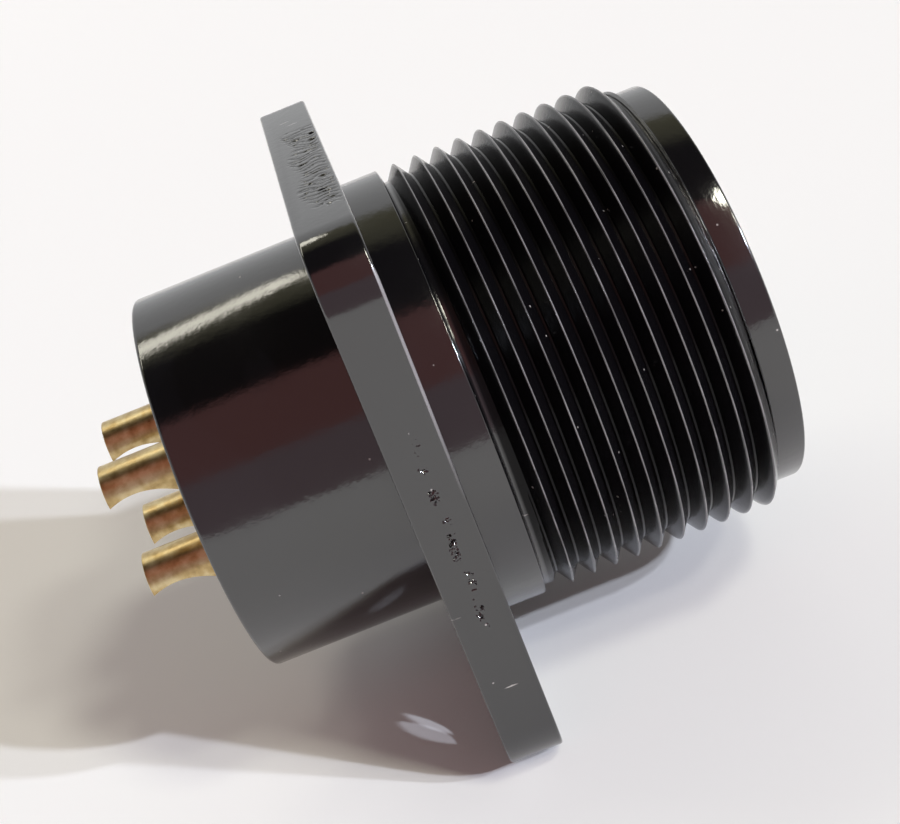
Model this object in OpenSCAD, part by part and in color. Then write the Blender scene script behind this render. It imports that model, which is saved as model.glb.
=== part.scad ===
// Square-flange circular connector receptacle with four turned contacts.
// The mating axis is +X: the threaded end faces +X and the solder cups face -X.
// The origin is the middle of the flange's rear face, which seats on the panel.

/* [Coupling thread] */
// Outside diameter of the coupling thread
thread_d = 30; // [28:0.5:32]
// Distance from one thread crest to the next
thread_pitch = 1.5; // [1.25:0.25:1.75]
// Number of thread crests
thread_turns = 10; // [6:1:14]
// Length of the smooth shoulder between the flange and the thread
shoulder_len = 2.6; // [1.5:0.1:5]
// Length of the smooth collar in front of the thread
collar_len = 1.8; // [1.2:0.1:4]

/* [Flange] */
// Side of the square flange
flange_side = 36.4; // [35:0.2:40]
// Thickness of the flange
flange_t = 3.4; // [2.4:0.1:5]
// Corner radius of the flange
flange_corner_r = 4; // [2:0.1:5]
// Diameter of the four fixing holes
fixing_hole_d = 4.5; // [3.4:0.1:4.8]
// Distance between neighbouring fixing holes
fixing_hole_pitch = 28; // [27:0.5:29]

/* [Rear barrel] */
// Outside diameter of the rear barrel
barrel_d = 26; // [25:0.5:28]
// Length of the rear barrel behind the flange
barrel_len = 12; // [11:0.1:16]
// Wall of the moulded shell
wall = 1.8; // [1.5:0.1:2.1]

/* [Contacts] */
// Diameter of the circle that the contacts stand on
contact_circle_d = 9.8; // [9:0.2:11]
// Angle of the first contact from the flange's level centre line
contact_turn = 45; // [0:5:85]
// Diameter of the mating pin
pin_d = 2.5; // [2:0.1:3]
// How far the pins end behind the front rim
pin_setback = 5.7; // [4.5:0.1:8]
// Outside diameter of the solder cup
cup_d = 3.5; // [3:0.1:3.8]
// Bore of the solder cup
cup_bore_d = 2.4; // [1.8:0.1:2.5]
// How far the solder cups reach past the barrel's rear rim
cup_reach = 5.7; // [4:0.1:8]
// Radius of the cutter that scoops each solder cup open
scoop_r = 4.2; // [3.6:0.1:4.8]

/* [Insulator] */
// Thickness of the front insulator's seated disc
front_disc_t = 3.5; // [3:0.1:4.5]
// How far the front insulator's boss stands past the seat
front_boss_len = 6; // [4:0.5:9]
// Thickness of the rear insulator
rear_disc_t = 5; // [3.5:0.1:5.5]

/* [Hidden] */

plastic_black = [0.06, 0.06, 0.065];
insulator_black = [0.13, 0.13, 0.14];
brass = [0.80, 0.66, 0.36];
spring_steel = [0.55, 0.56, 0.58];

$fn = 96;
over = 0.1;               // overrun of a cutting solid past the face it opens
radial_play = 0.1;        // clearance on radius between an insert and its bore
edge_round = 0.4;         // chamfer on the shell's two rims and its shoulder
mouth_chamfer = 0.5;      // lead-in at both mouths of the shell

// Thread form: a sharp moulded V with small flats
thread_r = thread_d / 2;
thread_depth = 0.63 * thread_pitch;
root_r = thread_r - thread_depth;
crest_flat = 0.1;
root_flat = 0.12;
ridge_half = (thread_pitch - root_flat) / 2;
thread_lead_in = 0.95;    // from the shoulder to the foot of the first ridge

// Stations along the mating axis
shoulder_x = flange_t + shoulder_len;
first_crest_x = shoulder_x + thread_lead_in + ridge_half;
last_crest_x = first_crest_x + (thread_turns - 1) * thread_pitch;
relief_x = last_crest_x + ridge_half;
relief_len = 0.25;
collar_x = relief_x + relief_len;
front_x = collar_x + collar_len;
collar_drop = 0.8;        // how far the collar lies under the crests, in pitches
collar_r = thread_r - collar_drop * thread_pitch;
cavity_r = collar_r - wall;

// Rear bore, the seat that stops the insulators, and the ring that holds them
barrel_r = barrel_d / 2;
bore_r = barrel_r - wall;
seat_lip = 1.3;
lip_r = bore_r - seat_lip;
lip_x = 2;
lip_t = 1.5;
joint_x = lip_x - front_disc_t;
rear_disc_x = joint_x - rear_disc_t;
ring_t = 1;
ring_width = 1.9;
ring_groove_depth = 0.8;
ring_groove_r = bore_r + ring_groove_depth;
ring_x = rear_disc_x - ring_t;
ring_end_play = 0.1;

// Keys and the slots they run in
key_w = 2.4;
key_play = 0.1;
key_slot_depth = 0.8;
key_h = 0.6;
polarising_w = 3;
polarising_depth = 0.8;
boss_groove_depth = 1;

// Contacts
contact_r = contact_circle_d / 2;
collar_flange_r = 2.3;    // the contact's own collar, trapped between the insulators
collar_flange_t = 2;
cup_tip_x = -barrel_len - cup_reach;
cup_depth = 8;
cup_floor = 0.6;          // depth of the drill point at the bottom of the cup
scoop_mid = 1.8;          // from the cup's tip to the deepest point of the scoop
pin_tip_x = front_x - pin_setback;
pin_tip_chamfer = 0.5;
shank_step = 0.25;        // the contact is this much thicker, on radius, inside the insulator
shank_stand = 0.3;        // how far that thicker shank shows in front of the boss
shank_r = pin_d / 2 + shank_step;
boss_x = lip_x + front_boss_len;

// Turns an outline of [radius, station] points about the mating axis
module turned(outline) {
    rotate([0, 90, 0]) rotate_extrude() polygon(outline);
}

// A straight round bar or hole along the mating axis
module rod(r, x0, x1) {
    translate([x0, 0, 0]) rotate([0, 90, 0]) cylinder(r = r, h = x1 - x0);
}

// Places its children at contact number i, with the scoop still facing down
module at_contact(i) {
    a = contact_turn + 90 * i;
    translate([0, contact_r * cos(a), contact_r * sin(a)]) children();
}

// A bar across the bore, centred on the level plane, from radius r0 to r1
module key_bar(w, r0, r1, x0, x1) {
    translate([x0, -w / 2, r0]) cube([x1 - x0, w, r1 - r0]);
}

module flange_plate() {
    // a corner stays concentric with its fixing hole, or outside that
    corner_r = min(flange_corner_r, (flange_side - fixing_hole_pitch) / 2);
    inner = flange_side - 2 * corner_r;
    at = inner / 2;
    rotate([0, 90, 0]) linear_extrude(height = flange_t) {
        square([flange_side, inner], center = true);
        square([inner, flange_side], center = true);
        for (y = [-at, at], z = [-at, at]) translate([z, y]) circle(r = corner_r);
    }
}

function ridge(x) = [
    [root_r, x - ridge_half],
    [thread_r, x - crest_flat / 2],
    [thread_r, x + crest_flat / 2],
    [root_r, x + ridge_half]
];

module shell_outside() {
    turned([
        [0, -barrel_len],
        [barrel_r - edge_round, -barrel_len],
        [barrel_r, -barrel_len + edge_round],
        [barrel_r, flange_t / 2],
        [thread_r, flange_t / 2],
        [thread_r, shoulder_x - edge_round],
        [thread_r - edge_round, shoulder_x],
        [root_r, shoulder_x + edge_round],
        for (i = [0 : thread_turns - 1]) each ridge(first_crest_x + i * thread_pitch),
        [collar_r, collar_x],
        [collar_r, front_x - edge_round],
        [collar_r - edge_round, front_x],
        [0, front_x]
    ]);
}

module shell_inside() {
    turned([
        [0, -barrel_len - over],
        [bore_r + mouth_chamfer + over, -barrel_len - over],
        [bore_r, -barrel_len + mouth_chamfer],
        [bore_r, ring_x - ring_end_play],
        [ring_groove_r, ring_x - ring_end_play],
        [ring_groove_r, rear_disc_x],
        [bore_r, rear_disc_x],
        [bore_r, lip_x],
        [lip_r, lip_x],
        [lip_r, lip_x + lip_t],
        [cavity_r, lip_x + lip_t],
        [cavity_r, front_x - mouth_chamfer],
        [cavity_r + mouth_chamfer + over, front_x + over],
        [0, front_x + over]
    ]);
}

module shell() {
    hole_at = fixing_hole_pitch / 2;
    slot_w = key_w + 2 * key_play;
    color(plastic_black) difference() {
        union() {
            shell_outside();
            flange_plate();
        }
        shell_inside();
        for (y = [-hole_at, hole_at], z = [-hole_at, hole_at])
            translate([0, y, z]) rod(fixing_hole_d / 2, -over, flange_t + over);
        // slot for the insulators' keys, open to the rear
        mirror([0, 0, 1])
            key_bar(slot_w, lip_r, bore_r + key_slot_depth, -barrel_len - over, lip_x);
        // polarising keyway for the mating plug, open to the front
        key_bar(polarising_w, lip_r, cavity_r + polarising_depth, lip_x + lip_t, front_x + over);
    }
}

module insulator_key(x0, x1) {
    mirror([0, 0, 1]) key_bar(key_w, lip_r, bore_r - radial_play + key_h, x0, x1);
}

module front_insulator() {
    disc_r = bore_r - radial_play;
    boss_r = lip_r - radial_play;
    color(insulator_black) difference() {
        union() {
            turned([
                [0, joint_x],
                [disc_r, joint_x],
                [disc_r, lip_x],
                [boss_r, lip_x],
                [boss_r, boss_x - edge_round],
                [boss_r - edge_round, boss_x],
                [0, boss_x]
            ]);
            insulator_key(joint_x, lip_x);
        }
        for (i = [0 : 3]) at_contact(i) {
            rod(shank_r + radial_play, joint_x, boss_x + over);
            rod(collar_flange_r + radial_play, joint_x - over, joint_x + collar_flange_t / 2);
        }
        key_bar(polarising_w, boss_r - boss_groove_depth, boss_r + over, lip_x + lip_t, boss_x + over);
    }
}

module rear_insulator() {
    disc_r = bore_r - radial_play;
    color(insulator_black) difference() {
        union() {
            rod(disc_r, rear_disc_x, joint_x);
            insulator_key(rear_disc_x, joint_x);
        }
        for (i = [0 : 3]) at_contact(i) {
            rod(cup_d / 2 + radial_play, rear_disc_x - over, joint_x);
            rod(collar_flange_r + radial_play, joint_x - collar_flange_t / 2, joint_x + over);
        }
    }
}

// Internal snap ring with a gap at the top and two lugs for the pliers
module retaining_ring() {
    outer_r = ring_groove_r - radial_play;
    inner_r = outer_r - ring_width;
    gap_w = 3.2;
    lug_r = 1.5;
    lug_hole_r = 0.6;
    lug_y = gap_w / 2 + lug_r;
    lug_z = inner_r - 0.2;
    color(spring_steel) difference() {
        union() {
            difference() {
                rod(outer_r, ring_x, rear_disc_x);
                rod(inner_r, ring_x - over, rear_disc_x + over);
            }
            for (side = [-1, 1])
                translate([0, side * lug_y, lug_z]) rod(lug_r, ring_x, rear_disc_x);
        }
        translate([ring_x - over, -gap_w / 2, 0]) cube([ring_t + 2 * over, gap_w, outer_r + over]);
        for (side = [-1, 1])
            translate([0, side * lug_y, lug_z]) rod(lug_hole_r, ring_x - over, rear_disc_x + over);
    }
}

module scoop() {
    translate([cup_tip_x + scoop_mid, 0, -scoop_r])
        rotate([90, 0, 0]) cylinder(r = scoop_r, h = cup_d + 2 * over, center = true);
}

module contact(i) {
    cup_r = cup_d / 2;
    cup_bore_r = cup_bore_d / 2;
    pin_r = pin_d / 2;
    tip_chamfer = 0.15;
    collar_x0 = joint_x - collar_flange_t / 2;
    collar_x1 = joint_x + collar_flange_t / 2;
    color(brass) at_contact(i) difference() {
        turned([
            [0, cup_tip_x + cup_depth + cup_floor],
            [cup_bore_r, cup_tip_x + cup_depth],
            [cup_bore_r, cup_tip_x],
            [cup_r - tip_chamfer, cup_tip_x],
            [cup_r, cup_tip_x + tip_chamfer],
            [cup_r, collar_x0],
            [collar_flange_r, collar_x0],
            [collar_flange_r, collar_x1],
            [shank_r, collar_x1],
            [shank_r, boss_x + shank_stand],
            [pin_r, boss_x + shank_stand],
            [pin_r, pin_tip_x - pin_tip_chamfer],
            [pin_r - pin_tip_chamfer, pin_tip_x],
            [0, pin_tip_x]
        ]);
        scoop();
    }
}

shell();
front_insulator();
rear_insulator();
retaining_ring();
contact(0);  // contact_1
contact(1);  // contact_2
contact(2);  // contact_3
contact(3);  // contact_4
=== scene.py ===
"""Looks of a square-flange circular connector receptacle with four solder-cup contacts."""

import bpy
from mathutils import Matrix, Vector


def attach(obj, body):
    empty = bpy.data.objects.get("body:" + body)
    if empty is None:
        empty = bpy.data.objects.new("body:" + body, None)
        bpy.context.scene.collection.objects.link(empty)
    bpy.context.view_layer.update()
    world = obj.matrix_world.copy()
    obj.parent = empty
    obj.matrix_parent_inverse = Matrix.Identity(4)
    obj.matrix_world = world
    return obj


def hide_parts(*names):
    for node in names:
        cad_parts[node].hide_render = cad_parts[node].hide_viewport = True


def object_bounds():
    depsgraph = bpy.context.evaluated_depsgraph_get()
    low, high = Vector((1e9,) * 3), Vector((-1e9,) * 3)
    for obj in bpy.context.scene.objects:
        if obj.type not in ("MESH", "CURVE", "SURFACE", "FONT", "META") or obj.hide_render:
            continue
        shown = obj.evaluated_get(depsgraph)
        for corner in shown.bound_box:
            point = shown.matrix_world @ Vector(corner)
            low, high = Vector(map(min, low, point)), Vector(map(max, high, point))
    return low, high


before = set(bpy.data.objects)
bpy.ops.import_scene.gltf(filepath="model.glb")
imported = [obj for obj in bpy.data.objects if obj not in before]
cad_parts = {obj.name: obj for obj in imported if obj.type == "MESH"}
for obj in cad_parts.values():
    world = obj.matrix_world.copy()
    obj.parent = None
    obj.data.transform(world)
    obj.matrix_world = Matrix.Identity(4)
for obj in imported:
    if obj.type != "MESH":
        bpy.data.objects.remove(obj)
cad_box = [list(corner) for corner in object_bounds()]

import math

import bmesh
import bpy
from mathutils import Matrix, Vector, noise

MM = 0.001
AXIS = Vector((1, 0, 0))
ORIGIN = Vector((0, 0, 0))

# Shell, in millimetres along and away from the mating axis
BARREL_R = 13.0
BARREL_REAR = -12.0
FLANGE_SIDE = 36.4
FLANGE_T = 3.4
FLANGE_MID = 1.7
FLANGE_CORNER = 4.0
FLANGE_EDGE = 0.19
HOLE_R = 2.25
HOLE_AT = 14.0
SHOULDER_X = 6.0
RELIEF_X = 21.83
COLLAR_X = 22.08
COLLAR_R = 13.8
FRONT_X = 23.88
CAVITY_R = 12.0
BORE_R = 11.2
LIP_R = 9.9
LIP_X = (2, 3.5)
RING_GROOVE_R = 12.0
RING_GROOVE_X = (-7.6, -6.5)
MOUTH_EASE = 0.6
REAR_KEY = 1.3
FRONT_KEY = 1.5

# Coupling thread: a crest stands at CREST_X where it passes CREST_ANGLE, in degrees round
THREAD_R = 15.0
ROOT_R = 14.055
PITCH = 1.5
TURNS = 11.25
CREST_X = 7.2
CREST_ANGLE = 65
START_ANGLE = 185

# Torn skin: where the two patches begin and end on the flange's top and near sides
TEARS_X = (0.8, 3.3)
TEARS_Y = (-11.5, 7.5)
BURRS_X = (0.7, 2.9)
BURRS_Z = (-13.5, 13.5)
SKIN_BED = 0.5

# Contacts
CONTACT_R = 4.9
CUP_R = 1.75
CUP_BORE_R = 1.2
CUP_TIP_X = -17.7
CUP_DEPTH = 8.0
DRILL_POINT = 0.6
SCOOP_R = 4.2
SCOOP_MID = 1.8
PIN_R = 1.25
PIN_TIP_X = 18.18
SHANK_R = 1.5
SHANK_END = 8.3
JOINT_X = -1.5
STOP_R = 2.3
STOP_HALF = 1

# Table: how far in front of the part its front edge lies, and half its side, in metres
TABLE_EDGE = 0.21
TABLE_HALF = 3.0


# ---------------------------------------------------------------- meshes

def finish_piece(name, bm, materials, smooth_below=32):
    """Makes a bmesh into a shaded object at the origin."""
    mesh = bpy.data.meshes.new(name)
    bm.to_mesh(mesh)
    bm.free()
    for material in materials:
        mesh.materials.append(material)
    mesh.shade_smooth()
    mesh.set_sharp_from_angle(angle=math.radians(smooth_below))
    obj = bpy.data.objects.new(name, mesh)
    bpy.context.scene.collection.objects.link(obj)
    return obj


def turned(outline, steps=256, rounds=()):
    """A solid of revolution about the mating axis from (station, radius) points in mm.

    rounds lists (point number, radius in mm, segments) for the corners that are eased."""
    bm = bmesh.new()
    verts = [bm.verts.new((x * MM, 0, r * MM)) for x, r in outline]
    bm.faces.new(verts)
    for number, radius, segments in rounds:
        bmesh.ops.bevel(bm, geom=[verts[number]], offset=radius * MM, offset_type="OFFSET",
                        affect="VERTICES", segments=segments, profile=0.5, material=-1)
    bmesh.ops.delete(bm, geom=list(bm.faces), context="FACES_ONLY")
    bmesh.ops.spin(bm, geom=list(bm.verts) + list(bm.edges), cent=ORIGIN, axis=AXIS,
                   angle=math.tau, steps=steps, use_merge=True)
    bmesh.ops.remove_doubles(bm, verts=bm.verts, dist=1e-7)
    bmesh.ops.recalc_face_normals(bm, faces=bm.faces)
    return bm


def rod(r, x0, x1, y=0.0, z=0.0, steps=96):
    """A straight round bar along the mating axis, in mm."""
    bm = bmesh.new()
    turn = Matrix.Rotation(math.pi / 2, 4, "Y")
    place = Matrix.Translation(Vector(((x0 + x1) / 2, y, z)) * MM)
    bmesh.ops.create_cone(bm, cap_ends=True, segments=steps, radius1=r * MM, radius2=r * MM,
                          depth=(x1 - x0) * MM, matrix=place @ turn)
    return bm


def block(x0, x1, y0, y1, z0, z1):
    """A plain block between two corners, in mm, used as a cutter."""
    bm = bmesh.new()
    size = Matrix.Diagonal(Vector((x1 - x0, y1 - y0, z1 - z0, 1)) * MM)
    size[3][3] = 1
    place = Matrix.Translation(Vector((x0 + x1, y0 + y1, z0 + z1)) * MM / 2)
    bmesh.ops.create_cube(bm, size=1, matrix=place @ size)
    return bm


def scratch(bm, name="cutter"):
    """A hidden helper object for a cut or a join, removed once it is used."""
    mesh = bpy.data.meshes.new(name)
    bm.to_mesh(mesh)
    bm.free()
    obj = bpy.data.objects.new(name, mesh)
    bpy.context.scene.collection.objects.link(obj)
    return obj


def combine(base, steps):
    """Runs (operation, cutter) pairs on a bmesh and returns the result as a new bmesh."""
    body = scratch(base, "body")
    helpers = []
    for operation, cutter in steps:
        helper = scratch(cutter)
        helpers.append(helper)
        modifier = body.modifiers.new(operation, "BOOLEAN")
        modifier.operation = operation
        modifier.solver = "EXACT"
        modifier.object = helper
    bpy.context.view_layer.update()
    mesh = bpy.data.meshes.new_from_object(body.evaluated_get(bpy.context.evaluated_depsgraph_get()))
    bm = bmesh.new()
    bm.from_mesh(mesh)
    bpy.data.meshes.remove(mesh)
    for obj in helpers + [body]:
        left = obj.data
        bpy.data.objects.remove(obj)
        bpy.data.meshes.remove(left)
    return bm


def join_into(bm, other):
    """Adds another bmesh's faces to bm."""
    mesh = bpy.data.meshes.new("joined")
    other.to_mesh(mesh)
    other.free()
    bm.from_mesh(mesh)
    bpy.data.meshes.remove(mesh)


# ---------------------------------------------------------------- shell

def shell_core():
    """The turned outside of the shell, closed to the axis."""
    outline = [
        (BARREL_REAR, 0), (BARREL_REAR, BARREL_R), (FLANGE_MID, BARREL_R), (FLANGE_MID, THREAD_R),
        (SHOULDER_X, THREAD_R), (SHOULDER_X + 0.25, ROOT_R), (RELIEF_X, ROOT_R),
        (COLLAR_X, COLLAR_R), (FRONT_X, COLLAR_R), (FRONT_X, 0),
    ]
    return turned(outline, rounds=[(1, 0.25, 3), (4, 0.07, 3), (8, 0.16, 4)])


def flange_plate():
    """The square plate with moulded corners and lightly broken edges."""
    bm = block(0, FLANGE_T, -FLANGE_SIDE / 2, FLANGE_SIDE / 2, -FLANGE_SIDE / 2, FLANGE_SIDE / 2)
    along = [e for e in bm.edges if abs((e.verts[0].co - e.verts[1].co).x) > 1 * MM]
    bmesh.ops.bevel(bm, geom=along, offset=FLANGE_CORNER * MM, offset_type="OFFSET",
                    affect="EDGES", segments=14, profile=0.5, material=-1)
    rims = [e for e in bm.edges if abs((e.verts[0].co - e.verts[1].co).x) < 1e-7]
    bmesh.ops.bevel(bm, geom=rims, offset=FLANGE_EDGE * MM, offset_type="OFFSET",
                    affect="EDGES", segments=4, profile=0.5, material=-1)
    return bm


def shell_bore():
    """The turned inside of the shell, from the rear mouth to the front mouth."""
    groove_rear, groove_front = RING_GROOVE_X
    lip_rear, lip_front = LIP_X
    outline = [
        (BARREL_REAR - 0.1, 0), (BARREL_REAR - 0.1, BORE_R + MOUTH_EASE), (BARREL_REAR + 0.5, BORE_R),
        (groove_rear, BORE_R), (groove_rear, RING_GROOVE_R), (groove_front, RING_GROOVE_R),
        (groove_front, BORE_R),
        (lip_rear, BORE_R), (lip_rear, LIP_R), (lip_front, LIP_R), (lip_front, CAVITY_R),
        (FRONT_X - 0.5, CAVITY_R), (FRONT_X + 0.1, CAVITY_R + MOUTH_EASE), (FRONT_X + 0.1, 0),
    ]
    return turned(outline)


def ridge_height(wound):
    """Radius in mm that the thread is cut down to, by turns wound from its start."""
    if wound < 0.3:
        return 14.06 + 0.94 * max(0.0, wound) / 0.3
    if wound > 10.22:
        return max(14.16 - 0.3 * max(0.0, wound - 10.86), THREAD_R - 1.85 * (wound - 10.22))
    return THREAD_R


def thread_ridge():
    """The coupling thread: one V ridge wound right-handed round the root, run out at both ends."""
    per_turn = 144
    first_angle = math.radians(START_ANGLE)
    steps = int(per_turn * TURNS)
    start_x = CREST_X + PITCH * (START_ANGLE - CREST_ANGLE - 360) / 360
    # half the ridge's section, from below the root up to its blunted crest
    half = [(0.74, 13.6), (0.69, ROOT_R), (0.63, 14.141), (0.5, 14.326), (0.38, 14.498), (0.25, 14.684),
            (0.12, 14.869), (0.07, 14.938), (0.035, 14.982)]
    outline = [(-x, r) for x, r in half] + [(0, THREAD_R)] + half[::-1]
    bm = bmesh.new()
    verts = [bm.verts.new(((start_x + x) * MM, r * MM, 0)) for x, r in outline]
    profile = bm.faces.new(verts)
    bmesh.ops.rotate(bm, verts=verts, cent=ORIGIN, matrix=Matrix.Rotation(first_angle, 3, "X"))
    bmesh.ops.spin(bm, geom=[profile], cent=ORIGIN, axis=AXIS, angle=math.tau * steps / per_turn, steps=steps,
                   dvec=AXIS * (PITCH * MM / per_turn), use_merge=False)
    for v in bm.verts:
        radius = math.hypot(v.co.y, v.co.z) / MM
        around = (math.atan2(v.co.z, v.co.y) - first_angle) / math.tau
        wound = around + round((v.co.x / MM - start_x) / PITCH - around)
        wanted = min(radius, ridge_height(wound))
        v.co.y *= wanted / radius
        v.co.z *= wanted / radius
        v.co.x = min(v.co.x, (RELIEF_X + 0.1) * MM)
    bmesh.ops.recalc_face_normals(bm, faces=bm.faces)
    return bm


def torn_patch(across, along, cells_across, cells_along, depth):
    """A patch of skin in the flange's outer side, across by along mm, with depth(u, v) in mm below it.

    It is made facing up round the origin, with the part's X across it and Y along it."""
    bm = bmesh.new()
    bmesh.ops.create_grid(bm, x_segments=cells_across, y_segments=cells_along, size=0.5)
    for v in bm.verts:
        u, w = v.co.x * 2, v.co.y * 2
        v.co.x *= across * MM
        v.co.y *= along * MM
        rim = min(1.0, (1 - abs(u)) * 6, (1 - abs(w)) * 12)
        v.co.z = -max(0.0, rim) * depth(v.co.x / MM, v.co.y / MM) * MM
    return bm


def gate_tears(x, y):
    """Depth in mm of the torn, rippled skin where the moulding gate was broken off."""
    wave = noise.fractal(Vector((x * 0.7, y * 2.6, 3.1)), 0.6, 2.1, 4)
    warp = noise.noise(Vector((x * 0.8, y * 0.6, 9.0)))
    ripple = abs(math.sin(y * 4.8 + x * 0.9 + 4.0 * warp))
    torn = max(0.0, noise.noise(Vector((x * 1.6, y * 2.0, 5.5))) - 0.36) * 0.3
    edge = min(1.0, max(0.0, (x + 1.05 + 0.35 * math.sin(y * 0.9)) * 2.2))
    return edge * (0.045 * (1 - ripple) ** 3 + 0.03 * max(0.0, wave) + torn)


def parting_burr(x, z):
    """Depth in mm of the parting line's step, with the torn places along its middle stretch."""
    line = math.exp(-((x - 0.12 * math.sin(z * 0.9)) / 0.06) ** 2)
    torn_here = math.exp(-((z + 0.8) / 6.6) ** 4)
    lumps = noise.fractal(Vector((x * 2.4, z * 4.6, 1.7)), 0.5, 2.2, 4)
    sparse = min(1.0, max(0.0, noise.noise(Vector((0.3, z * 1.6, 8.2))) * 3.0 + 0.75))
    spread = math.exp(-((x - 0.12 * math.sin(z * 1.3)) / 0.3) ** 4)
    return 0.014 + 0.026 * line + torn_here * sparse * spread * 0.2 * max(-0.07, lumps)


def torn_skin():
    """The two torn places on the flange's sides, turned to where they belong."""
    half = FLANGE_SIDE / 2
    top = torn_patch(TEARS_X[1] - TEARS_X[0], TEARS_Y[1] - TEARS_Y[0], 50, 330, gate_tears)
    bmesh.ops.translate(top, verts=top.verts, vec=Vector((sum(TEARS_X) / 2, sum(TEARS_Y) / 2, half)) * MM)
    near = torn_patch(BURRS_X[1] - BURRS_X[0], BURRS_Z[1] - BURRS_Z[0], 44, 460, parting_burr)
    bmesh.ops.rotate(near, verts=near.verts, cent=ORIGIN, matrix=Matrix.Rotation(math.pi / 2, 3, "X"))
    bmesh.ops.translate(near, verts=near.verts, vec=Vector((sum(BURRS_X) / 2, -half, sum(BURRS_Z) / 2)) * MM)
    join_into(top, near)
    return top


def make_shell(material):
    half = FLANGE_SIDE / 2
    steps = [("UNION", flange_plate()), ("DIFFERENCE", shell_bore())]
    for y in (-HOLE_AT, HOLE_AT):
        for z in (-HOLE_AT, HOLE_AT):
            steps.append(("DIFFERENCE", rod(HOLE_R, -1, FLANGE_T + 1, y, z)))
    # the insulators' key along the bore, and the mating plug's key in the cavity
    steps.append(("DIFFERENCE", block(BARREL_REAR - 1, LIP_X[0], -REAR_KEY, REAR_KEY,
                                      -RING_GROOVE_R, -LIP_R + 0.3)))
    steps.append(("DIFFERENCE", block(LIP_X[1], FRONT_X + 1, -FRONT_KEY, FRONT_KEY,
                                      LIP_R, CAVITY_R + 0.8)))
    # shallow beds that the torn patches of skin lie in
    steps.append(("DIFFERENCE", block(*TEARS_X, *TEARS_Y, half - SKIN_BED, half + 1)))
    steps.append(("DIFFERENCE", block(*BURRS_X, -half - 1, -half + SKIN_BED, *BURRS_Z)))
    bm = combine(shell_core(), steps)
    join_into(bm, thread_ridge())
    join_into(bm, torn_skin())
    shell = finish_piece("moulded_shell", bm, [material])
    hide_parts("shell")
    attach(shell, "root")
    return shell


# ---------------------------------------------------------------- contacts

def make_contact(number, material):
    """One turned contact: solder cup to the rear, pin to the front."""
    turn = math.radians(45 + 90 * (number - 1))
    y, z = CONTACT_R * math.cos(turn), CONTACT_R * math.sin(turn)
    stop_rear, stop_front = JOINT_X - STOP_HALF, JOINT_X + STOP_HALF
    outline = [
        (CUP_TIP_X + CUP_DEPTH + DRILL_POINT, 0), (CUP_TIP_X + CUP_DEPTH, CUP_BORE_R),
        (CUP_TIP_X, CUP_BORE_R), (CUP_TIP_X, CUP_R), (stop_rear, CUP_R), (stop_rear, STOP_R),
        (stop_front, STOP_R), (stop_front, SHANK_R), (SHANK_END, SHANK_R), (SHANK_END, PIN_R),
        (PIN_TIP_X, PIN_R), (PIN_TIP_X, 0),
    ]
    bm = turned(outline, steps=72, rounds=[(3, 0.08, 3), (8, 0.08, 2), (10, 0.55, 5)])
    bmesh.ops.translate(bm, verts=bm.verts, vec=Vector((0, y, z)) * MM)
    cutter = bmesh.new()
    turn_in = Matrix.Rotation(math.pi / 2, 4, "X")
    place = Matrix.Translation(Vector((CUP_TIP_X + SCOOP_MID, y, z - SCOOP_R)) * MM)
    bmesh.ops.create_cone(cutter, cap_ends=True, segments=160, radius1=SCOOP_R * MM, radius2=SCOOP_R * MM,
                          depth=6 * MM, matrix=place @ turn_in)
    bm = combine(bm, [("DIFFERENCE", cutter)])
    contact = finish_piece("turned_contact_%d" % number, bm, [material])
    ease = contact.modifiers.new("broken edges", "BEVEL")
    ease.width = 0.05 * MM
    ease.segments = 2
    ease.limit_method = "ANGLE"
    ease.angle_limit = math.radians(50)
    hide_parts("contact_%d" % number)
    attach(contact, "root")
    return contact


# ---------------------------------------------------------------- materials

def linear(hex_colour):
    """sRGB hex to the linear colour that the shaders take."""
    values = [int(hex_colour[i:i + 2], 16) / 255 for i in (1, 3, 5)]
    return tuple(v / 12.92 if v <= 0.04045 else ((v + 0.055) / 1.055) ** 2.4 for v in values) + (1.0,)


def add(tree, kind, settings=None, links=None):
    """Adds one node; settings are properties or input values, links are input: output socket."""
    made = tree.nodes.new(kind)
    for key, value in (settings or {}).items():
        if isinstance(key, str) and hasattr(made, key):
            setattr(made, key, value)
        else:
            made.inputs[key].default_value = value
    for key, source in (links or {}).items():
        tree.links.new(source, made.inputs[key])
    return made


def new_material(name):
    material = bpy.data.materials.new(name)
    material.use_nodes = True
    material.node_tree.nodes.clear()
    return material, material.node_tree


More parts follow.
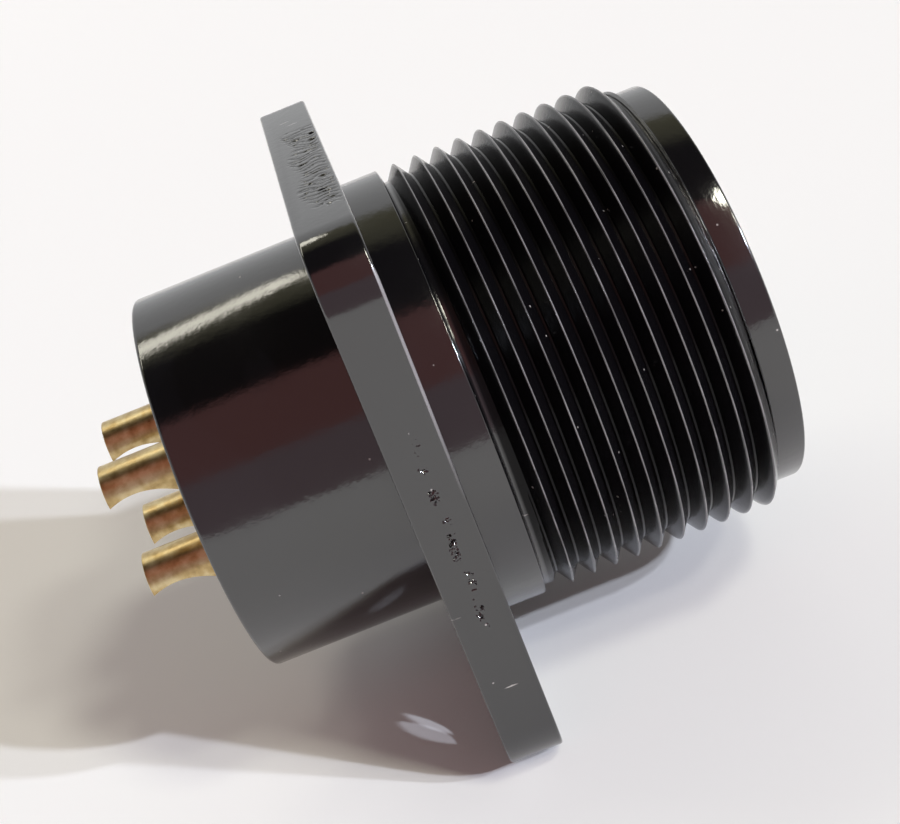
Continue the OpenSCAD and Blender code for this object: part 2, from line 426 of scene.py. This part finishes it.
def moulded_black_shell():
    """Black PBT, injection moulded in a polished tool: near-black and glossy under a faint
    orange-peel skin, with polishing lines round the axis, duller thread flanks, painted highlights
    in pale grey along the thread's crests and the flange's front edge, tool marks and crumbs
    where the thread runs out, and dust that clings to it."""
    material, tree = new_material("moulded_black_pbt")
    place = add(tree, "ShaderNodeTexCoord").outputs["Object"]
    apart = add(tree, "ShaderNodeSeparateXYZ", {}, {0: place})
    x, y, z = apart.outputs
    flat = add(tree, "ShaderNodeCombineXYZ", {}, {1: y, 2: z})
    radius = add(tree, "ShaderNodeVectorMath", {"operation": "LENGTH"}, {0: flat.outputs[0]}).outputs["Value"]
    around = add(tree, "ShaderNodeMath", {"operation": "ARCTAN2"}, {0: z, 1: y}).outputs[0]
    # the surface unrolled: station in mm, and the way round in radians
    unrolled = add(tree, "ShaderNodeCombineXYZ", {}, {0: x, 1: around, 2: radius}).outputs[0]

    # orange peel: soft lumps about 0.6 mm across, with a finer grain on them
    peel = add(tree, "ShaderNodeTexNoise", {"Scale": 1600.0, "Detail": 4.0, "Roughness": 0.6},
               {"Vector": place})
    # polishing lines 0.25 mm apart along the axis, drawn out 3 mm round it
    stretched = add(tree, "ShaderNodeMapping", {"Scale": (4000.0, 5.0, 0.0)}, {"Vector": unrolled})
    lines = add(tree, "ShaderNodeTexNoise", {"Scale": 1.0, "Detail": 3.0}, {"Vector": stretched.outputs[0]})
    height = add(tree, "ShaderNodeMix", {"data_type": "FLOAT", 0: 0.3},
                 {2: peel.outputs[0], 3: lines.outputs[0]})
    bump = add(tree, "ShaderNodeBump", {"Strength": 0.75, "Distance": 0.02 * MM},
               {"Height": height.outputs[0]})

    # tool marks where the thread runs out, 0.12 mm apart round the axis
    begin = add(tree, "ShaderNodeMapRange", {"From Min": 20.9 * MM, "From Max": 21.2 * MM}, {"Value": x})
    end = add(tree, "ShaderNodeMapRange", {"From Min": 22.15 * MM, "From Max": 22.05 * MM}, {"Value": x})
    outer = add(tree, "ShaderNodeMapRange", {"From Min": 13.82 * MM, "From Max": 13.9 * MM},
                {"Value": radius})
    between = add(tree, "ShaderNodeMath", {"operation": "MULTIPLY"},
                  {0: begin.outputs[0], 1: end.outputs[0]})
    run_out = add(tree, "ShaderNodeMath", {"operation": "MULTIPLY"},
                  {0: between.outputs[0], 1: outer.outputs[0]})
    # only over the upper half, where the tool left them
    upper = add(tree, "ShaderNodeMapRange", {"From Min": 0.0, "From Max": 3 * MM}, {"Value": z})
    band = add(tree, "ShaderNodeMath", {"operation": "MULTIPLY"},
               {0: run_out.outputs[0], 1: upper.outputs[0]})
    groove_way = add(tree, "ShaderNodeMapping", {"Scale": (8500.0, 7.0, 0.0)}, {"Vector": unrolled})
    grooves = add(tree, "ShaderNodeTexNoise", {"Scale": 1.0, "Detail": 4.0},
                  {"Vector": groove_way.outputs[0]})
    scored = add(tree, "ShaderNodeBump", {"Distance": 0.14 * MM},
                 {"Strength": band.outputs[0], "Height": grooves.outputs[0], "Normal": bump.outputs[0]})

    # thread crests, painted pale as a highlight line and broken up by the polishing lines: outside 14.94 mm and
    # in front of the shoulder
    crest = add(tree, "ShaderNodeMapRange", {"From Min": 14.945 * MM, "From Max": 14.985 * MM},
                {"Value": radius})
    front = add(tree, "ShaderNodeMath", {"operation": "GREATER_THAN", 1: 6.35 * MM}, {0: x})
    crest_highlight_breakup = add(tree, "ShaderNodeMapRange", {"From Min": 0.34, "From Max": 0.62, "To Min": 0.2, "To Max": 1.0},
               {"Value": lines.outputs[0]})
    crest_highlight_zone = add(tree, "ShaderNodeMath", {"operation": "MULTIPLY"},
                 {0: crest.outputs[0], 1: front.outputs[0]})
    pale = add(tree, "ShaderNodeMath", {"operation": "MULTIPLY"},
               {0: crest_highlight_zone.outputs[0], 1: crest_highlight_breakup.outputs[0]})

    # painted highlight on the flange's front edge on the near side: pale grey, fading in from 1.5 to 8 mm up
    front_edge_highlight_x = add(tree, "ShaderNodeMapRange", {"From Min": 3.2 * MM, "From Max": 3.26 * MM}, {"Value": x})
    front_edge_highlight_y = add(tree, "ShaderNodeMapRange", {"From Min": -17.6 * MM, "From Max": -17.8 * MM}, {"Value": y})
    front_edge_highlight_z = add(tree, "ShaderNodeMapRange", {"From Min": 1.5 * MM, "From Max": 8 * MM}, {"Value": z})
    edge = add(tree, "ShaderNodeMath", {"operation": "MULTIPLY"},
               {0: front_edge_highlight_x.outputs[0], 1: front_edge_highlight_y.outputs[0]})
    edge = add(tree, "ShaderNodeMath", {"operation": "MULTIPLY"},
               {0: edge.outputs[0], 1: front_edge_highlight_z.outputs[0]})
    # the thread's flanks, which the tool left duller than its crests
    deep = add(tree, "ShaderNodeMapRange", {"From Min": 14.96 * MM, "From Max": 14.9 * MM},
               {"Value": radius})
    threaded = add(tree, "ShaderNodeMapRange", {"From Min": 6.3 * MM, "From Max": 6.5 * MM}, {"Value": x})
    before = add(tree, "ShaderNodeMapRange", {"From Min": 21.6 * MM, "From Max": 21.2 * MM}, {"Value": x})
    flank = add(tree, "ShaderNodeMath", {"operation": "MULTIPLY"},
                {0: deep.outputs[0], 1: threaded.outputs[0]})
    flank = add(tree, "ShaderNodeMath", {"operation": "MULTIPLY"},
                {0: flank.outputs[0], 1: before.outputs[0]})
    outside = add(tree, "ShaderNodeMath", {"operation": "GREATER_THAN", 1: 14.0 * MM}, {0: radius})
    flank = add(tree, "ShaderNodeMath", {"operation": "MULTIPLY"},
                {0: flank.outputs[0], 1: outside.outputs[0]})
    shine = add(tree, "ShaderNodeMapRange", {"To Min": 1.0, "To Max": 0.14}, {"Value": flank.outputs[0]})

    # duller and glossier patches about 4 mm across
    patches = add(tree, "ShaderNodeTexNoise", {"Scale": 250.0, "Detail": 4.0}, {"Vector": place})
    gloss = add(tree, "ShaderNodeMapRange", {"From Min": 0.3, "From Max": 0.7, "To Min": 0.09, "To Max": 0.16},
                {"Value": patches.outputs[0]})
    dulled = add(tree, "ShaderNodeMath", {"operation": "MULTIPLY_ADD", 1: 0.18},
                 {0: pale.outputs[0], 2: gloss.outputs[0]})
    scuffed = add(tree, "ShaderNodeMath", {"operation": "MULTIPLY_ADD", 1: 0.2},
                  {0: band.outputs[0], 2: dulled.outputs[0]})
    scuffed = add(tree, "ShaderNodeMath", {"operation": "MULTIPLY_ADD", 1: 0.08},
                  {0: flank.outputs[0], 2: scuffed.outputs[0]})
    scuffed = add(tree, "ShaderNodeMath", {"operation": "MULTIPLY_ADD", 1: 0.4},
                  {0: edge.outputs[0], 2: scuffed.outputs[0]})
    # dust specks about 0.08 mm across, and short hairs of lint
    cells = add(tree, "ShaderNodeTexVoronoi", {"Scale": 1100.0, "Randomness": 1.0}, {"Vector": place})
    close = add(tree, "ShaderNodeMapRange", {"From Min": 0.10, "From Max": 0.05},
                {"Value": cells.outputs["Distance"]})
    lot = add(tree, "ShaderNodeSeparateColor", {}, {0: cells.outputs["Color"]})
    # more of them lie as crumbs where the thread runs out
    likely = add(tree, "ShaderNodeMath", {"operation": "MULTIPLY_ADD", 1: 0.3},
                 {0: run_out.outputs[0], 2: lot.outputs[0]})
    few = add(tree, "ShaderNodeMath", {"operation": "GREATER_THAN", 1: 0.93}, {0: likely.outputs[0]})
    speck = add(tree, "ShaderNodeMath", {"operation": "MULTIPLY"}, {0: close.outputs[0], 1: few.outputs[0]})
    hair_way = add(tree, "ShaderNodeMapping", {"Scale": (250.0, 1900.0, 1900.0), "Rotation": (0.3, 0.2, 0.5)},
                   {"Vector": place})
    hairs = add(tree, "ShaderNodeTexVoronoi", {"Scale": 1.0}, {"Vector": hair_way.outputs[0]})
    thin = add(tree, "ShaderNodeMapRange", {"From Min": 0.13, "From Max": 0.08},
               {"Value": hairs.outputs["Distance"]})
    chance = add(tree, "ShaderNodeSeparateColor", {}, {0: hairs.outputs["Color"]})
    rare = add(tree, "ShaderNodeMath", {"operation": "GREATER_THAN", 1: 0.965}, {0: chance.outputs[0]})
    lint = add(tree, "ShaderNodeMath", {"operation": "MULTIPLY"}, {0: thin.outputs[0], 1: rare.outputs[0]})
    dust = add(tree, "ShaderNodeMath", {"operation": "MAXIMUM"}, {0: speck.outputs[0], 1: lint.outputs[0]})
    # painted highlights: the crest lines and the flange's front edge, mixed as pale grey #7a7779 over the black
    # skin
    bare = add(tree, "ShaderNodeMath", {"operation": "MAXIMUM"}, {0: pale.outputs[0], 1: edge.outputs[0]})
    body = add(tree, "ShaderNodeMix", {"data_type": "RGBA", 6: linear("#09080a"), 7: linear("#7a7779")},
               {0: bare.outputs[0]})
    colour = add(tree, "ShaderNodeMix", {"data_type": "RGBA", 7: linear("#9a9692")},
                 {0: dust.outputs[0], 6: body.outputs[2]})
    skin = add(tree, "ShaderNodeBsdfPrincipled", {"IOR": 1.6},
               {"Base Color": colour.outputs[2], "Roughness": scuffed.outputs[0],
                "Specular IOR Level": shine.outputs[0], "Normal": scored.outputs[0]})
    add(tree, "ShaderNodeOutputMaterial", {}, {"Surface": skin.outputs[0]})
    return material


def moulded_matte_insulator():
    """Black phenolic, compression moulded and left as it came from the tool: dark grey, matt,
    with a fine even grain."""
    material, tree = new_material("moulded_matte_phenolic")
    place = add(tree, "ShaderNodeTexCoord").outputs["Object"]
    # grain about 0.15 mm
    grain = add(tree, "ShaderNodeTexNoise", {"Scale": 6500.0, "Detail": 3.0}, {"Vector": place})
    bump = add(tree, "ShaderNodeBump", {"Strength": 0.35, "Distance": 0.03 * MM},
               {"Height": grain.outputs[0]})
    cloud = add(tree, "ShaderNodeTexNoise", {"Scale": 350.0, "Detail": 4.0}, {"Vector": place})
    colour = add(tree, "ShaderNodeMix", {"data_type": "RGBA", 6: linear("#1b1a1b"), 7: linear("#2a2829")},
                 {0: cloud.outputs[0]})
    rough = add(tree, "ShaderNodeMapRange", {"To Min": 0.42, "To Max": 0.62}, {"Value": cloud.outputs[0]})
    skin = add(tree, "ShaderNodeBsdfPrincipled", {"IOR": 1.55},
               {"Base Color": colour.outputs[2], "Roughness": rough.outputs[0], "Normal": bump.outputs[0]})
    add(tree, "ShaderNodeOutputMaterial", {}, {"Surface": skin.outputs[0]})
    return material


def turned_brass():
    """Free-cutting brass, turned and left bare: warm yellow with tool lines along the cut,
    darker olive tarnish in patches."""
    material, tree = new_material("turned_brass")
    place = add(tree, "ShaderNodeTexCoord").outputs["Object"]
    # drawn lines along the bar, 0.15 mm apart
    squeeze = add(tree, "ShaderNodeMapping", {"Scale": (700.0, 6500.0, 6500.0)}, {"Vector": place})
    lines = add(tree, "ShaderNodeTexNoise", {"Scale": 1.0, "Detail": 3.0}, {"Vector": squeeze.outputs[0]})
    # tarnish in patches about 1 mm across
    tarnish = add(tree, "ShaderNodeTexNoise", {"Scale": 1100.0, "Detail": 4.0, "Roughness": 0.5},
                  {"Vector": place})
    colour = add(tree, "ShaderNodeValToRGB", {}, {0: tarnish.outputs[0]})
    colour.color_ramp.elements[0].position = 0.32
    colour.color_ramp.elements[0].color = linear("#a88f60")
    colour.color_ramp.elements[1].position = 0.66
    colour.color_ramp.elements[1].color = linear("#dccb9f")
    middle = colour.color_ramp.elements.new(0.46)
    middle.color = linear("#c3aa79")
    both = add(tree, "ShaderNodeMix", {"data_type": "FLOAT", 0: 0.5},
               {2: lines.outputs[0], 3: tarnish.outputs[0]})
    rough = add(tree, "ShaderNodeMapRange", {"From Min": 0.3, "From Max": 0.7, "To Min": 0.26, "To Max": 0.44},
                {"Value": both.outputs[0]})
    bump = add(tree, "ShaderNodeBump", {"Strength": 0.22, "Distance": 0.03 * MM},
               {"Height": both.outputs[0]})
    skin = add(tree, "ShaderNodeBsdfPrincipled", {"Metallic": 1.0},
               {"Base Color": colour.outputs[0], "Roughness": rough.outputs[0], "Normal": bump.outputs[0]})
    add(tree, "ShaderNodeOutputMaterial", {}, {"Surface": skin.outputs[0]})
    return material


def brushed_spring_steel():
    """Spring steel strip, stamped and tumbled: mid grey with a fine brushed grain."""
    material, tree = new_material("tumbled_spring_steel")
    place = add(tree, "ShaderNodeTexCoord").outputs["Object"]
    squeeze = add(tree, "ShaderNodeMapping", {"Scale": (500.0, 900.0, 9000.0)}, {"Vector": place})
    grain = add(tree, "ShaderNodeTexNoise", {"Scale": 1.0, "Detail": 3.0}, {"Vector": squeeze.outputs[0]})
    colour = add(tree, "ShaderNodeMix", {"data_type": "RGBA", 6: linear("#6f7174"), 7: linear("#a3a5a8")},
                 {0: grain.outputs[0]})
    rough = add(tree, "ShaderNodeMapRange", {"To Min": 0.28, "To Max": 0.46}, {"Value": grain.outputs[0]})
    bump = add(tree, "ShaderNodeBump", {"Strength": 0.3, "Distance": 0.02 * MM},
               {"Height": grain.outputs[0]})
    skin = add(tree, "ShaderNodeBsdfPrincipled", {"Metallic": 1.0},
               {"Base Color": colour.outputs[2], "Roughness": rough.outputs[0], "Normal": bump.outputs[0]})
    add(tree, "ShaderNodeOutputMaterial", {}, {"Surface": skin.outputs[0]})
    return material


# ---------------------------------------------------------------- room

def make_floor():
    bm = bmesh.new()
    bmesh.ops.create_grid(bm, x_segments=1, y_segments=1, size=TABLE_HALF)
    low = cad_box[0][2]
    bmesh.ops.translate(bm, verts=bm.verts, vec=(0, TABLE_HALF - TABLE_EDGE, low))
    material, tree = new_material("white_table")
    paint = add(tree, "ShaderNodeBsdfDiffuse", {"Color": linear("#f4f4f3")})
    add(tree, "ShaderNodeOutputMaterial", {}, {"Surface": paint.outputs[0]})
    floor = finish_piece("white_table", bm, [material])


def make_room():
    """A pale room, dark overhead and brown in front, that the gloss picks up as bands."""
    world = bpy.data.worlds.new("room")
    bpy.context.scene.world = world
    world.use_nodes = True
    tree = world.node_tree
    tree.nodes.clear()
    way = add(tree, "ShaderNodeSeparateXYZ", {}, {0: add(tree, "ShaderNodeTexCoord").outputs["Generated"]})
    toward = add(tree, "ShaderNodeMath", {"operation": "MULTIPLY", 1: -1.0}, {0: way.outputs[1]})
    over = add(tree, "ShaderNodeMath", {"operation": "ARCTAN2"}, {0: way.outputs[2], 1: toward.outputs[0]})
    level = add(tree, "ShaderNodeMapRange", {"From Min": -math.pi, "From Max": math.pi},
                {"Value": over.outputs[0]})
    ramp = add(tree, "ShaderNodeValToRGB", {}, {0: level.outputs[0]})
    # degrees over the head, from the front horizon at 0 to the back horizon at 180
    bands = [(-6, "#a28e93"), (26, "#a08c92"), (28, "#a47371"), (63, "#a47371"),
             (67, "#2a2626"), (104, "#2a2828"),
             (112, "#7c7a66"), (129, "#8f8c72"), (133, "#dedede"), (175, "#e8e9ea")]
    stops = ramp.color_ramp.elements
    stops[0].position = 0.0
    stops[0].color = linear("#e8e9ea")
    stops[1].position = 1.0
    stops[1].color = linear("#e8e9ea")
    for degrees, tint in bands:
        stops.new((degrees + 180) / 360).color = linear(tint)
    seen = add(tree, "ShaderNodeBackground", {"Color": linear("#f5f4f1"), "Strength": 1.0})
    # pale walls to the part's two ends
    sideways = add(tree, "ShaderNodeMath", {"operation": "ABSOLUTE"}, {0: way.outputs[0]})
    wall = add(tree, "ShaderNodeMapRange", {"From Min": 0.72, "From Max": 0.88},
               {"Value": sideways.outputs[0]})
    tone = add(tree, "ShaderNodeMix", {"data_type": "RGBA", 7: linear("#cbcbcd")},
               {0: wall.outputs[0], 6: ramp.outputs[0]})
    felt = add(tree, "ShaderNodeBackground", {"Strength": 1.0}, {"Color": tone.outputs[2]})
    camera_ray = add(tree, "ShaderNodeLightPath").outputs["Is Camera Ray"]
    mixed = add(tree, "ShaderNodeMixShader", {}, {0: camera_ray, 1: felt.outputs[0], 2: seen.outputs[0]})
    add(tree, "ShaderNodeOutputWorld", {}, {0: mixed.outputs[0]})


def aim(azimuth, elevation):
    """The turn that points a lamp from that direction at the part."""
    a, e = math.radians(azimuth), math.radians(elevation)
    out = Vector((math.cos(e) * math.cos(a), math.cos(e) * math.sin(a), math.sin(e)))
    return out, out.to_track_quat("Z", "Y").to_matrix().to_4x4()


def sun(name, azimuth, elevation, strength, spread, tint):
    lamp = bpy.data.lights.new(name, "SUN")
    lamp.energy = strength
    lamp.angle = math.radians(spread)
    lamp.color = linear(tint)[:3]
    obj = bpy.data.objects.new(name, lamp)
    obj.matrix_world = aim(azimuth, elevation)[1]
    bpy.context.scene.collection.objects.link(obj)


def window(name, centre, width, height, radiance, tint):
    """A soft rectangular lamp that faces the part; centre and size in mm."""
    lamp = bpy.data.lights.new(name, "AREA")
    lamp.shape = "RECTANGLE"
    lamp.size = width * MM
    lamp.size_y = height * MM
    lamp.energy = radiance * math.pi * width * height * MM * MM
    lamp.color = linear(tint)[:3]
    obj = bpy.data.objects.new(name, lamp)
    obj.matrix_world = (Matrix.Translation(Vector(centre) * MM)
                        @ Vector(centre).to_track_quat("Z", "Y").to_matrix().to_4x4())
    bpy.context.scene.collection.objects.link(obj)


def make_camera():
    camera = bpy.data.cameras.new("camera")
    camera.sensor_width = 36
    camera.lens = 58.9676
    camera.shift_x = 0.11872
    camera.shift_y = -0.09538
    camera.clip_start = 0.005
    camera.clip_end = 20
    right = Vector((0.92769383, -0.11625885, -0.35477886))
    up = Vector((0.37253421, 0.35073296, 0.85918837))
    back = Vector((0.02454439, -0.92923101, 0.3686832))
    place = Vector((2.6091, -89.5096, 42.2085)) * MM
    obj = bpy.data.objects.new("camera", camera)
    obj.matrix_world = Matrix((
        (right.x, up.x, back.x, place.x),
        (right.y, up.y, back.y, place.y),
        (right.z, up.z, back.z, place.z),
        (0, 0, 0, 1)))
    bpy.context.scene.collection.objects.link(obj)
    bpy.context.scene.camera = obj


bpy.context.scene.view_settings.view_transform = "Standard"
make_camera()
make_room()
make_floor()
sun("key", -40, 28, 1.85, 1.5, "#e9f0ff")
sun("key_right", -34, 29, 1.3, 1.5, "#e9f0ff")
sun("upper", -40, 54, 0.65, 10.0, "#fffeec")
sun("upper_low", -44, 42, 0.40, 6.0, "#fffeec")
window("back_window", (-600, 980, 1680), 1200, 260, 4.5, "#fffbec")

shell_skin = moulded_black_shell()
insert_skin = moulded_matte_insulator()
brass_skin = turned_brass()
steel_skin = brushed_spring_steel()

make_shell(shell_skin)
for number in (1, 2, 3, 4):
    make_contact(number, brass_skin)
carried_over = (("front_insulator", insert_skin), ("rear_insulator", insert_skin), ("retaining_ring", steel_skin))
for name, skin in carried_over:
    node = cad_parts[name]
    if not node.data.materials:
        node.data.materials.append(skin)
    for slot in node.material_slots:
        slot.material = skin
